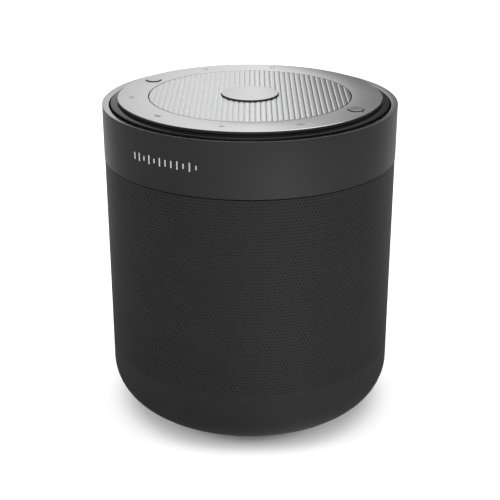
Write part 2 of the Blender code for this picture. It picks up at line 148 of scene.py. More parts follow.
def cloudOf(tree, place, size, detail=3.0):
    # Soft noise whose patches are about this size, in metres.
    values = {"Scale": 1 / size, "Detail": detail, "Roughness": 0.55}
    return addNode(tree, "TexNoise", values, {"Vector": place}).outputs["Fac"]


def stretched(tree, place, factors):
    return addNode(tree, "VectorMath", {1: factors}, {0: place}, operation="MULTIPLY").outputs[0]


def awayFromAxis(tree, place):
    flat = stretched(tree, place, (1.0, 1.0, 0.0))
    return addNode(tree, "VectorMath", links={0: flat}, operation="LENGTH").outputs["Value"]


def ringsOf(tree, place, spacing):
    # Fine turning marks: noise that changes only with the distance from the middle.
    values = {"Scale": 1 / spacing, "Detail": 2.0}
    links = {"W": awayFromAxis(tree, place)}
    return addNode(tree, "TexNoise", values, links, noise_dimensions="1D").outputs["Fac"]


def ridgesOf(tree, place, spacing):
    # An even wave along Z: threads, windings or the marks of a tool.
    axes = addNode(tree, "SeparateXYZ", links={"Vector": place})
    turns = calculate(tree, "MULTIPLY", axes.outputs["Z"], math.tau / spacing)
    return calculate(tree, "SINE", turns)


# Finishes


def patchyFinish(name, hexes, roughs, patch, relief=None, metallic=0.0, ior=None):
    # Colour and roughness change together, in soft patches of (size, detail). The relief is
    # a finer noise of (size, detail, depth, strength).
    material, tree, shader, place = newMaterial(name, sum(roughs) / 2, metallic, ior)
    patches = cloudOf(tree, place, *patch)
    tintBy(tree, shader, patches, *hexes)
    roughnessBy(tree, shader, patches, *roughs)
    if relief:
        size, detail, depth, strength = relief
        reliefBy(tree, shader, cloudOf(tree, place, size, detail), depth, strength)
    return material


def mouldedPlastic(name, darkHex, paleHex):
    # Injection-moulded PC and ABS with a spark-eroded texture: an even satin black whose grain
    # spreads each highlight. The real grain is 0.1 mm, and it is drawn coarser so that it shows.
    relief = (0.35 * mm, 2.0, 0.02 * mm, 0.5)
    return patchyFinish(name, (darkHex, paleHex), (0.46, 0.54), (14 * mm, 3.0), relief, ior=1.46)


def anodisedBlack():
    # Aluminium, bead blasted and anodised black: a softer and slightly paler black than plastic,
    # with a fine frost. The blasted pits are 0.05 mm, and are drawn four times as wide.
    name, hexes = "blasted_black_anodised_aluminium", ("#141415", "#171718")
    relief = (0.2 * mm, 2.0, 0.01 * mm, 0.4)
    return patchyFinish(name, hexes, (0.36, 0.42), (20 * mm, 3.0), relief, ior=1.65)


def turnedAluminium(name, darkHex, paleHex, roughness, spacing=0.35, streak=0.4):
    # Aluminium, turned and clear anodised: a pale satin metal with faint rings, which draw its
    # reflections out towards the edge. The cutter's marks are 0.1 mm apart and drawn coarser.
    material, tree, shader, place = newMaterial(name, roughness, 1.0, Anisotropic=streak)
    rings = ringsOf(tree, place, spacing * mm)
    tintBy(tree, shader, rings, darkHex, paleHex)
    roughnessBy(tree, shader, cloudOf(tree, place, 9 * mm), roughness - 0.03, roughness + 0.03)
    reliefBy(tree, shader, rings, 0.004 * mm, 0.5)
    around = addNode(tree, "Tangent", direction_type="RADIAL", axis="Z")
    tree.links.new(around.outputs["Tangent"], shader.inputs["Tangent"])
    return material


def rolledAluminium():
    # Aluminium, rolled into flutes and clear anodised: pale satin metal with a fine grain that
    # runs along the flutes. The grain is 0.05 mm wide in the real sheet and is drawn at 0.3 mm.
    material, tree, shader, place = newMaterial("rolled_satin_aluminium", 0.22, 1.0)
    grain = cloudOf(tree, stretched(tree, place, (1.0, 0.05, 1.0)), 0.3 * mm, 2.0)
    tintBy(tree, shader, grain, "#e2e2e3", "#efeff0")
    roughnessBy(tree, shader, cloudOf(tree, place, 6 * mm), 0.2, 0.26)
    reliefBy(tree, shader, grain, 0.004 * mm, 0.5)
    return material


def glossPlastic():
    # Polished black polycarbonate: a deep black with clear reflections and the odd faint swirl.
    name, hexes = "polished_black_polycarbonate", ("#0b0b0c", "#0e0e0f")
    relief = (6 * mm, 3.0, 0.01 * mm, 0.2)
    return patchyFinish(name, hexes, (0.1, 0.18), (3 * mm, 4.0), relief, ior=1.5)


def printedSilver():
    # Silver ink, pad printed: pale grey flake that is duller than metal.
    name, hexes = "pad_printed_silver_ink", ("#9c9c9e", "#b4b4b6")
    return patchyFinish(name, hexes, (0.38, 0.5), (0.25 * mm, 2.0), metallic=0.2, ior=1.5)


def etchedAluminium():
    # Aluminium, acid etched through a mask: the same metal as the plate, but matt and duller.
    name, hexes = "etched_aluminium", ("#bcbcbd", "#cbcbcc")
    return patchyFinish(name, hexes, (0.44, 0.56), (0.3 * mm, 2.0), metallic=1.0)


def mouldedRubber(name, darkHex, paleHex):
    # Compression-moulded rubber: dull and soft edged, with a dusty bloom.
    relief = (0.4 * mm, 2.0, 0.03 * mm, 0.5)
    return patchyFinish(name, (darkHex, paleHex), (0.66, 0.82), (5 * mm, 4.0), relief, ior=1.52)


def wovenCloth():
    # Black polyester mesh, plain woven: fine crossed threads, 0.25 mm apart, round the body.
    material, tree, shader, place = newMaterial("woven_black_polyester", 0.9, ior=1.5)
    thread = 0.25 * mm
    axes = addNode(tree, "SeparateXYZ", links={"Vector": place})
    turn = calculate(tree, "ARCTAN2", axes.outputs["Y"], axes.outputs["X"])
    across = calculate(tree, "MULTIPLY", turn, math.tau / thread * bodyRadius)
    across = calculate(tree, "SINE", across)
    crossed = calculate(tree, "MULTIPLY", across, ridgesOf(tree, place, thread))
    weave = addNode(tree, "MapRange", {"From Min": -1.0}, {"Value": crossed})
    tintBy(tree, shader, weave.outputs["Result"], "#404041", "#535354")
    reliefBy(tree, shader, weave.outputs["Result"], 0.05 * mm, 0.6)
    return material


def circuitBoard():
    # Glass-epoxy board under green solder mask: copper tracks show paler through it, and plated
    # pads as gold dots. The tracks are drawn 0.5 mm wide, twice the real width.
    material, tree, shader, place = newMaterial("green_masked_epoxy_board", 0.35, ior=1.55)
    values = {"Scale": 1 / (9 * mm), "Mortar Size": 0.055, "Mortar Smooth": 0.1}
    values["Color1"], values["Color2"] = linear("#0d3b22"), linear("#114a2b")
    values["Mortar"] = linear("#2f7a4a")
    tracks = addNode(tree, "TexBrick", values, {"Vector": place})
    values = {"Scale": 1 / (2.6 * mm), "Randomness": 0.4}
    cells = addNode(tree, "TexVoronoi", values, {"Vector": place})
    pad = calculate(tree, "LESS_THAN", cells.outputs["Distance"], 0.16)
    values = {"Color2": linear("#c8a24a")}
    links = {"Fac": pad, "Color1": tracks.outputs["Color"]}
    mixed = addNode(tree, "MixRGB", values, links)
    tree.links.new(mixed.outputs["Color"], shader.inputs["Base Color"])
    tree.links.new(pad, shader.inputs["Metallic"])
    reliefBy(tree, shader, tracks.outputs["Fac"], 0.04 * mm, 0.6)
    return material


def shrinkSleeve():
    # PVC sleeve, heat shrunk round the cells: glossy blue with shallow puckers.
    material, tree, shader, place = newMaterial("shrunk_blue_pvc", 0.3, ior=1.53)
    tintBy(tree, shader, cloudOf(tree, place, 8 * mm), "#1c4a86", "#23569a")
    roughnessBy(tree, shader, cloudOf(tree, place, 4 * mm), 0.24, 0.38)
    reliefBy(tree, shader, cloudOf(tree, place, 3 * mm), 0.2 * mm, 0.4)
    return material


def platedSteel():
    # Steel, zinc plated: bright grey with faint spangle and a little tarnish in patches.
    material, tree, shader, place = newMaterial("zinc_plated_steel", 0.3, 1.0)
    spangle = addNode(tree, "TexVoronoi", {"Scale": 1 / (1.2 * mm)}, {"Vector": place})
    tintBy(tree, shader, spangle.outputs["Distance"], "#b9bbbd", "#cfd1d2")
    roughnessBy(tree, shader, cloudOf(tree, place, 3 * mm), 0.24, 0.38)
    reliefBy(tree, shader, cloudOf(tree, place, 0.3 * mm, 2.0), 0.01 * mm, 0.4)
    return material


def sinteredFerrite():
    # Ferrite, pressed and sintered: dark grey ceramic, matt, with pores 0.2 mm across.
    material, tree, shader, place = newMaterial("sintered_ferrite", 0.6, ior=2.2)
    pores = addNode(tree, "TexVoronoi", {"Scale": 1 / (0.6 * mm)}, {"Vector": place})
    tintBy(tree, shader, pores.outputs["Distance"], "#2a2a2c", "#3a3a3c")
    roughnessBy(tree, shader, cloudOf(tree, place, 2 * mm), 0.52, 0.7)
    reliefBy(tree, shader, pores.outputs["Distance"], 0.05 * mm, 0.5)
    return material


def pressedPaper():
    # Paper pulp, pressed and dyed black: matt and fibrous, with flecks up to 1 mm long.
    material, tree, shader, place = newMaterial("pressed_black_paper", 0.85, ior=1.45)
    fibres = cloudOf(tree, place, 0.8 * mm, 6.0)
    tintBy(tree, shader, fibres, "#1f1e1d", "#35332f")
    reliefBy(tree, shader, fibres, 0.06 * mm, 0.6)
    return material


def woundCopper():
    # Enamelled copper wire, wound: warm and glossy, with a ridge for each turn, 0.25 mm apart.
    material, tree, shader, place = newMaterial("wound_enamelled_copper", 0.3, 1.0)
    ridge = ridgesOf(tree, place, 0.25 * mm)
    tintBy(tree, shader, ridge, "#a8592f", "#d07c48", 0.0, 1.0)
    roughnessBy(tree, shader, cloudOf(tree, place, 1 * mm), 0.24, 0.36)
    reliefBy(tree, shader, ridge, 0.05 * mm, 0.6)
    return material


def turnedBrass():
    # Brass bar, turned: yellow metal with fine rings from the tool, 0.7 mm apart.
    material, tree, shader, place = newMaterial("turned_brass", 0.32, 1.0)
    ridge = ridgesOf(tree, place, 0.7 * mm)
    tintBy(tree, shader, cloudOf(tree, place, 2 * mm), "#c9a557", "#d8b76b")
    roughnessBy(tree, shader, cloudOf(tree, place, 1 * mm), 0.26, 0.38)
    reliefBy(tree, shader, ridge, 0.01 * mm, 0.5)
    return material


shellPlastic = mouldedPlastic("spark_eroded_black_polycarbonate", "#181819", "#1b1b1c")
innerPlastic = mouldedPlastic("moulded_grey_abs", "#3c3c3f", "#454548")
bandMetal = anodisedBlack()
rimMetal = turnedAluminium("diamond_cut_aluminium", "#c2c2c3", "#d0d0d1", 0.2, 0.3)
plateMetal = turnedAluminium("turned_satin_aluminium", "#e4e4e5", "#ececed", 0.26)
capMetal = turnedAluminium("spun_satin_aluminium", "#dcdcdd", "#e4e4e5", 0.24, 0.25)
discMetal = rolledAluminium()
bezelPlastic = glossPlastic()
silverInk = printedSilver()
etchedMetal = etchedAluminium()
blackRubber = mouldedRubber("moulded_black_rubber", "#1b1b1c", "#262627")
steel = platedSteel()

slotFinishes = {
    "perforated_plastic": shellPlastic,
    "satin_plastic": shellPlastic,
    "black_anodised_band": bandMetal,
    "gloss_bezel": bezelPlastic,
    "satin_aluminium": plateMetal,
    "button_aluminium": capMetal,
    "silicone": mouldedRubber("moulded_grey_silicone", "#a9a9a6", "#b9b9b6"),
    "rubber": blackRubber,
    "acoustic_cloth": wovenCloth(),
    "inner_plastic": innerPlastic,
    "circuit_board": circuitBoard(),
    "battery_wrap": shrinkSleeve(),
    "plated_steel": steel,
    "ferrite": sinteredFerrite(),
    "paper_cone": pressedPaper(),
    "copper": woundCopper(),
    "brass": turnedBrass(),
}
for part in frame["record"]["subparts"]:
    node = frame["nodes"][part["node"]]
    node.data.materials.clear()
    node.data.materials.append(slotFinishes[part["material_slot"]])
print("finishes made:", len(slotFinishes))


# Making and placing pieces


def polar(radius, angle):
    return (radius * math.cos(angle), radius * math.sin(angle))


def bridged(count, levels):
    # Faces between neighbouring rings that all have the same count of points.
    faces = []
    for level in range(levels - 1):
        low, high = level * count, (level + 1) * count
        for i in range(count):
            after = (i + 1) % count
            faces.append((low + i, low + after, high + after, high + i))
    return faces


def meshObject(name, points, faces, finishes):
    mesh = bpy.data.meshes.new(name)
    mesh.from_pydata(points, [], faces)
    for finish in finishes:
        mesh.materials.append(finish)
    thing = bpy.data.objects.new(name, mesh)
    bpy.context.scene.collection.objects.link(thing)
    return thing


def newPiece(name, points, faces, finishes, smoothUnder=30):
    piece = meshObject(name, points, faces, finishes)
    tidyMesh(piece, smoothUnder)
    return piece


def tidyMesh(piece, smoothUnder=30):
    # Faces point out, doubled points are joined, and only real edges stay sharp.
    shape = bmesh.new()
    shape.from_mesh(piece.data)
    bmesh.ops.remove_doubles(shape, verts=shape.verts, dist=hair)
    bmesh.ops.recalc_face_normals(shape, faces=shape.faces)
    if shape.calc_volume(signed=True) < 0:
        bmesh.ops.reverse_faces(shape, faces=shape.faces)
    shape.to_mesh(piece.data)
    shape.free()
    piece.data.shade_smooth()
    piece.data.set_sharp_from_angle(angle=math.radians(smoothUnder))


def secondFinish(piece, chosen):
    # Gives the piece's second finish to the chosen faces.
    for polygon in piece.data.polygons:
        if chosen(polygon):
            polygon.material_index = 1


def standsFor(piece, node, body="housing"):
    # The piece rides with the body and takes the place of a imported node.
    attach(piece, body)
    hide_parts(node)
    return piece


def rounded(corners, steps):
    # Corners are (radius, height). One with a third value, its rounding, becomes an arc.
    places = [Vector(corner[:2]) for corner in corners]
    points = []
    for i, (here, corner) in enumerate(zip(places, corners)):
        if len(corner) < 3:
            points.append(tuple(here))
            continue
        rounding = corner[2]
        before = (places[i - 1] - here).normalized()
        after = (places[(i + 1) % len(places)] - here).normalized()
        half = before.angle(after) / 2
        centre = here + (before + after).normalized() * rounding / math.sin(half)
        start = here + before * rounding / math.tan(half) - centre
        end = here + after * rounding / math.tan(half) - centre
        for step in range(steps + 1):
            points.append(tuple(centre + start.slerp(end, step / steps) * rounding))
    return points


def turned(name, corners, finishes, segments=256, centre=(0.0, 0.0), arcSteps=4):
    # The corners run down the outer side, from the axis to the axis or round a closed loop.
    outline = rounded(corners, arcSteps)
    points, rings, faces = [], [], []
    for radius, height in outline:
        onAxis = radius < hair
        rings.append([len(points) + (0 if onAxis else step) for step in range(segments)])
        for step in range(1 if onAxis else segments):
            x, y = polar(radius, front + math.tau * step / segments)
            points.append((centre[0] + x, centre[1] + y, height))
    loop = outline[0][0] > hair
    pairs = zip(rings, rings[1:] + rings[:1]) if loop else zip(rings, rings[1:])
    for upper, lower in pairs:
        for step in range(segments):
            after = (step + 1) % segments
            corner = [upper[step], lower[step], lower[after], upper[after]]
            face = list(dict.fromkeys(corner))
            if len(face) > 2:
                faces.append(face)
    return newPiece(name, points, faces, finishes)


def carve(piece, *cutters):
    # Cuts the closed cutters out of the piece and removes them.
    for cutter in cutters:
        cut = piece.modifiers.new("cut", "BOOLEAN")
        cut.solver = "EXACT"
        cut.object = cutter
    graph = bpy.context.evaluated_depsgraph_get()
    shape = bpy.data.meshes.new_from_object(piece.evaluated_get(graph))
    piece.modifiers.clear()
    piece.data = shape
    for cutter in cutters:
        bpy.data.objects.remove(cutter, do_unlink=True)
    tidyMesh(piece)


def capsule(width, height, grow=0.0, steps=12):
    # Outline of a slot with round ends, lying along X.
    side = width / 2 - height / 2
    points = []
    for middle, start in ((side, -math.pi / 2), (-side, math.pi / 2)):
        for step in range(steps + 1):
            x, z = polar(height / 2 + grow, start + math.pi * step / steps)
            points.append((middle + x, z))
    return points


def lofted(name, rings, finishes):
    # A closed solid between rings of points that all have the same count.
    count = len(rings[0])
    points = [point for ring in rings for point in ring]
    faces = [list(range(count)), list(range(len(points) - count, len(points)))]
    faces.extend(bridged(count, len(rings)))
    return newPiece(name, points, faces, finishes)


def slotAlongY(name, size, x, levels, finishes, steps=12):
    # A round-ended slot at the sockets' height, width by height. Each level is (y, how much
    # wider all round), and True after those for one that follows the round wall.
    rings = []
    for y, grow, *follows in levels:
        ring = []
        for px, pz in capsule(*size, grow, steps):
            depth = math.sqrt(y**2 - px**2) if follows else y
            ring.append((x + px, depth, band["windowHeight"] + pz))
        rings.append(ring)
    return lofted(name, rings, finishes)


def joined(name, pieces):
    # One piece made of several separate shapes.
    first = pieces[0]
    with bpy.context.temp_override(
        active_object=first, selected_editable_objects=pieces, selected_objects=pieces
    ):
        bpy.ops.object.join()
    first.name = name
    first.data.name = name
    return first


# The perforated cup: six perforated panels between a plain lip and a plain rounded base

cup = {
    "columns": 252,  # holes in each row round the body
    "panels": 6,  # the columns divide by this
    "holeWidth": 0.5 * mm,
    "holeSides": 12,
    "skin": 0.25 * mm,  # thickness where it is perforated
    "plainBelow": 21.0 * mm,  # height over the underside where the rows start
    "lip": 0.3 * mm,  # plain strip over the top row
    "lipEdge": 0.15 * mm,
    "rise": 0.3 * mm,  # leaves a fine shadow line under the band
    "rounding": 14.65 * mm,
    "wall": 1.8 * mm,
    "thinning": (1 * mm, 2 * mm),  # the wall goes from skin to full thickness under the rows
    "opening": 34.6 * mm,  # in the underside, for the base cover
    "openingEdge": 0.25 * mm,
    "clothGap": 0.05 * mm,
    "clothThickness": 0.3 * mm,
    "clothLap": 0.5 * mm,  # how far the cloth reaches below the rows
}
cupRadius = shellHigh.x
cupTop = shellHigh.z + cup["rise"]
cupUnder = shellLow.z
holePitch = math.tau * cupRadius / cup["columns"]
rowStep = holePitch * math.sqrt(3) / 2
gridTop = cupTop - cup["lip"]
rowCount = int((gridTop - cupUnder - cup["plainBelow"]) / rowStep)
gridLow = gridTop - rowCount * rowStep


def cupPoint(along, height, depth):
    # A point on the wall, from the distance round it, the height and the depth below its face.
    return (*polar(cupRadius - depth, front + along / cupRadius), height)


def perforatedPanel(number):
    # Honeycomb cells, each with a round hole through it, on the outer and the inner face.
    points, faces, corners = [], [], {}
    sides = cup["holeSides"]
    share = sides // 6
    corner = holePitch / math.sqrt(3)
    width = cup["columns"] // cup["panels"]

    def cornerAt(along, height, depth):
        key = (round(along / holePitch * 2), round(height * 1e6), depth)
        if key not in corners:
            corners[key] = len(points)
            points.append(cupPoint(along, height, depth))
        return corners[key]

    for row in range(rowCount):
        middle = gridLow + (row + 0.5) * rowStep
        for column in range(number * width, (number + 1) * width):
            centre = (column + 0.5 * (row % 2)) * holePitch
            hole = []
            for depth in (0.0, cup["skin"]):
                hole.append(list(range(len(points), len(points) + sides)))
                for step in range(sides):
                    up, right = polar(cup["holeWidth"] / 2, math.tau * step / sides)
                    points.append(cupPoint(centre + right, middle + up, depth))
            for step in range(sides):
                after = (step + 1) % sides
                faces.append((hole[0][step], hole[0][after], hole[1][after], hole[1][step]))
            for layer, depth in enumerate((0.0, cup["skin"])):
                cell = []
                for step in range(6):
                    up, right = polar(corner, math.tau * step / 6)
                    height = middle + up
                    if row == 0 and up < 0:  # the end rows are cut off straight
                        height = gridLow
                    if row == rowCount - 1 and up > 0:
                        height = gridTop
                    cell.append(cornerAt(centre + right, height, depth))
                for step in range(6):
                    rim = [hole[layer][(step * share + k) % sides] for k in range(share + 1)]
                    faces.append([cell[step], *rim, cell[(step + 1) % 6]])
    # The panel's own edges, from its outer to its inner face.
    inner = {}
    for (along, height, depth), index in corners.items():
        if not depth:
            inner[index] = corners[(along, height, cup["skin"])]
    uses = {}
    for face in faces:
        for a, b in zip(face, face[1:] + face[:1]):
            if a in inner and b in inner:
                uses.setdefault(frozenset((a, b)), []).append((a, b))
    for pair in uses.values():
        if len(pair) == 1:
            a, b = pair[0]
            faces.append((b, a, inner[a], inner[b]))
    return newPiece(f"shell_panel_{number + 1}", points, faces, [shellPlastic])


for number in range(cup["panels"]):
    standsFor(perforatedPanel(number), "speaker_shell")

lipOutline = [
    (cupRadius, cupTop, cup["lipEdge"]),
    (cupRadius, gridTop),
    (cupRadius - cup["skin"], gridTop),
    (cupRadius - cup["skin"], cupTop),
]
standsFor(turned("shell_lip", lipOutline, [shellPlastic], 2 * cup["columns"]), "speaker_shell")

baseOutline = [
    (cupRadius, gridLow),
    (cupRadius, cupUnder, cup["rounding"]),
    (cup["opening"], cupUnder, cup["openingEdge"]),
    (cup["opening"], cupUnder + cup["wall"]),
    (cupRadius - cup["wall"], cupUnder + cup["wall"], cup["rounding"] - cup["wall"]),
    (cupRadius - cup["wall"], gridLow - cup["thinning"][1]),
    (cupRadius - cup["skin"], gridLow - cup["thinning"][0]),
    (cupRadius - cup["skin"], gridLow),
]
shellBase = turned("shell_base", baseOutline, [shellPlastic], 2 * cup["columns"], arcSteps=20)
standsFor(shellBase, "speaker_shell")

clothOuter = cupRadius - cup["skin"] - cup["clothGap"]
clothInner = clothOuter - cup["clothThickness"]
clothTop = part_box("dust_mesh")[1].z
clothEnd = gridLow - cup["clothLap"]
fold = 0.1 * mm  # rounding of the cloth's cut edges
clothOutline = [
    (clothOuter, clothTop, fold),
    (clothOuter, clothEnd, fold),
    (clothInner, clothEnd, fold),
    (clothInner, clothTop, fold),
]
standsFor(turned("dust_cloth", clothOutline, [slotFinishes["acoustic_cloth"]]), "dust_mesh")
print("perforated cup made:", cup["columns"] * rowCount, "holes")


# The control band, with its bright slanted edge and the window for the rear sockets

band = {
    "rimWidth": 2.25 * mm,
    "rimDrop": 0.45 * mm,
    "edge": 0.12 * mm,  # rounding where the wall meets the bright edge
    "innerEdge": 0.08 * mm,
    "skirt": 0.3 * mm,  # rounding at the lower edge
    "flange": 8.5 * mm,
    "flangeHeight": 2.0 * mm,
    "window": (26.0 * mm, 10.0 * mm),
    "windowHeight": 100.6 * mm,
    "windowBevel": 0.35 * mm,
    "windowCut": (10 * mm, 3 * mm),  # how far the cutter reaches inside and outside the wall
}
bandInner = bodyRadius - band["rimWidth"]
bandOutline = [
    (bodyRadius, rimZ, band["edge"]),
    (bodyRadius, bandLow.z, band["skirt"]),
    (bodyRadius - band["flange"], bandLow.z),
    (bodyRadius - band["flange"], bandLow.z + band["flangeHeight"]),
    (bandInner, bandLow.z + band["flangeHeight"]),
    (bandInner, rimZ - band["rimDrop"], band["innerEdge"]),
]
bandPiece = turned("control_band", bandOutline, [bandMetal, rimMetal], arcSteps=5)


def onBrightEdge(polygon):
    away = math.hypot(polygon.center.x, polygon.center.y)
    high = polygon.center.z > rimZ - 2 * band["rimDrop"]
    return polygon.normal.z > 0.9 and high and away > bandInner


bevel = band["windowBevel"]
inside, outside = band["windowCut"]
levels = [
    (bodyRadius - inside, 0.0),
    (bodyRadius - bevel, 0.0, True),
    (bodyRadius + spare, bevel + spare, True),
    (bodyRadius + outside, bevel + spare),
]
carve(bandPiece, slotAlongY("window_cutter", band["window"], 0, levels, []))
secondFinish(bandPiece, onBrightEdge)
standsFor(bandPiece, "upper_band")

marks = {
    "count": 12,
    "start": -46.4,  # degrees round from the front
    "end": -19.2,
    "below": 9.1 * mm,  # from the top edge of the band to their middle
    "height": 3.0 * mm,
    "width": 0.5 * mm,
    "ink": 0.03 * mm,  # thickness, and how far the ink's edge slopes
}


def levelMarks():
    # A row of plain level bars, printed on the band.
    shapes = []
    for i in range(marks["count"]):
        share = i / (marks["count"] - 1)
        angle = front + math.radians(marks["start"] + (marks["end"] - marks["start"]) * share)
        tall = marks["height"] * (0.4 + 0.6 * abs(math.sin(1.35 * i + 0.7)))  # an uneven row
        side = Vector((*polar(1, angle + math.pi / 2), 0))
        ink = marks["ink"]
        rings = []
        for lift, grow in ((-ink, 0.0), (0.6 * ink, 0.0), (ink, -ink)):
            centre = Vector((*polar(bodyRadius + lift, angle), rimZ - marks["below"]))
            outline = capsule(tall, marks["width"], grow, 6)
            rings.append([centre + side * z + Vector((0, 0, x)) for x, z in outline])
        shapes.append(lofted(f"mark_{i}", rings, [silverInk]))
    return joined("level_marks", shapes)


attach(levelMarks(), "housing")
print("control band made")


# The top: gloss bezel, metal plate, fluted disc and the etched marks

top = {
    "bezelRadius": 47.15 * mm,
    "bezelEdge": 0.26 * mm,
    "bezelRise": 0.2 * mm,  # over the top edge of the band
    "bezelLedge": 0.4 * mm,  # from there its face slants down to the recess
    "bezelWall": 2.65 * mm,
    "recess": 45.07 * mm,
    "recessDepth": 0.2 * mm,
    "recessEdge": 0.06 * mm,
    "deckGap": 0.3 * mm,  # under the plate
    "deckThickness": 1.4 * mm,
    "well": 11.2 * mm,  # radius of the opening round the middle button
    "wellEdge": 0.1 * mm,
    "edge": 0.16 * mm,  # of the plate
    "innerEdge": 0.06 * mm,
    "discRadius": 34.2 * mm,
    "gap": 0.3 * mm,
    "flutePitch": 1.8 * mm,
    "fluteDepth": 0.12 * mm,
    "fluteBack": 4,  # how flat the back of each flute is
    "fluteSteps": 14,
    "fluteCuts": 5,  # along each half of a flute
}
playButton = {"radius": 9.6 * mm, "stem": 2.5 * mm, "edge": 0.15 * mm, "dish": 0.03 * mm}
smallButton = {"radius": 2.55 * mm, "stem": 1.5 * mm, "edge": 0.14 * mm, "dish": 0.0}
buttonFit = {
    "gap": 0.3 * mm,
    "mouthBevel": 0.05 * mm,
    "lip": 1.0 * mm,  # the lip holds each button under the plate
    "lipRoom": 0.5 * mm,
    "lipDrop": 0.4 * mm,
    "lipThickness": 0.8 * mm,
    "lipEdge": 0.1 * mm,
}
deck = plateLow.z - top["deckGap"]
deckUnder = deck - top["deckThickness"]
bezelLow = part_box("top_bezel")[0].z
bezelTop = rimZ + top["bezelRise"]
bezelInner = top["bezelRadius"] - top["bezelWall"]
bezelOutline = [
    (top["bezelRadius"], bezelTop, top["bezelEdge"]),
    (top["bezelRadius"], bezelLow),
    (bezelInner, bezelLow),
    (bezelInner, deckUnder),
    (top["well"], deckUnder),
    (top["well"], deck, top["wellEdge"]),
    (top["recess"], deck),
    (top["recess"], deck + top["recessDepth"], top["recessEdge"]),
    (top["bezelRadius"] - top["bezelLedge"], bezelTop),
]
bezel = turned("gloss_bezel", bezelOutline, [bezelPlastic])

plateRadius = plateHigh.x
plateInner = top["discRadius"] + top["gap"]
plateOutline = [
    (plateRadius, plateTop - top["edge"]),
    (plateRadius, plateLow.z),
    (plateInner, plateLow.z),
    (plateInner, plateTop, top["innerEdge"]),
    (plateRadius - top["edge"], plateTop),
]
plate = turned("turned_plate", plateOutline, [plateMetal, bandMetal])
# Its upright side takes the band's black anodised finish.
secondFinish(plate, lambda polygon: abs(polygon.normal.z) < 0.1)

smallPlaces = {}
for node in ("volume_up_button", "volume_down_button"):
    low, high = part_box(node)
    smallPlaces[node] = ((low.x + high.x) / 2, (low.y + high.y) / 2)

for place in smallPlaces.values():
    room = smallButton["radius"] + buttonFit["lip"] + buttonFit["lipRoom"]
    well = [(0, plateTop), (room, plateTop), (room, bezelLow - spare), (0, bezelLow - spare)]
    carve(bezel, turned("well_cutter", well, [], 64, place))
    hole = smallButton["radius"] + buttonFit["gap"]
    bevel = buttonFit["mouthBevel"]
    mouth = [
        (0, plateTop + spare),
        (hole + bevel + spare, plateTop + spare),
        (hole, plateTop - bevel),
        (hole, plateLow.z - spare),
        (0, plateLow.z - spare),
    ]
    carve(plate, turned("mouth_cutter", mouth, [], 64, place))
standsFor(bezel, "top_bezel")
standsFor(plate, "top_plate")


def flutedDisc():
    # Round-backed flutes run from front to back. Strips of constant X follow both round edges.
    outer = top["discRadius"]
    hole = playButton["radius"] + top["gap"]
    tip = outer * 0.99995  # the first and last strips are a hair wide
    low = plateLow.z
    cuts = top["fluteCuts"]
    count = int(2 * outer / top["flutePitch"] * top["fluteSteps"])
    xs = [-outer + 2 * outer * i / count for i in range(1, count)]
    xs = sorted({*xs, -tip, -hole, hole, tip})
    points, faces = [], []

    def heightAt(x):
        share = (x / top["flutePitch"]) % 1.0 - 0.5
        return plateTop - top["fluteDepth"] * abs(2 * share) ** top["fluteBack"]

    def strip(x, start, end):
        # The top and bottom points of one line of the disc, from front to back.
        rows = []
        for z in (heightAt(x), low):
            rows.append(list(range(len(points), len(points) + cuts + 1)))
            for k in range(cuts + 1):
                points.append((x, start + (end - start) * k / cuts, z))
        return rows

    def fill(lefts, rights, ends):
        # Joins two neighbouring lines into a slab, with walls at the ends that are asked for.
        (topA, lowA), (topB, lowB) = lefts, rights
        for k in range(cuts):
            faces.append((topA[k], topB[k], topB[k + 1], topA[k + 1]))
            faces.append((lowA[k], lowA[k + 1], lowB[k + 1], lowB[k]))
        for k in ends:
            faces.append((topA[k], lowA[k], lowB[k], topB[k]))

    spans = []
    for x in xs:
        reach = math.sqrt(outer**2 - x**2)
        inside = math.sqrt(max(hole**2 - x**2, 0.0))
        spans.append([strip(x, -reach, -inside), strip(x, inside, reach)])
    for i in range(len(xs) - 1):
        crossing = abs(xs[i] + xs[i + 1]) < 2 * hole  # the hole interrupts these strips
        (frontA, backA), (frontB, backB) = spans[i], spans[i + 1]
        fill(frontA, frontB, (0, -1) if crossing else (0,))
        fill(backA, backB, (0, -1) if crossing else (-1,))
    for halves in (spans[0], spans[-1]):
        for rows in halves:
            for k in range(cuts):
                faces.append((rows[0][k], rows[0][k + 1], rows[1][k + 1], rows[1][k]))
    return newPiece("fluted_centre", points, faces, [discMetal], 50)


standsFor(flutedDisc(), "fluted_disc")

etching = {"size": 1.1 * mm, "circle": 40.0 * mm, "below": 0.02 * mm, "above": 0.012 * mm}


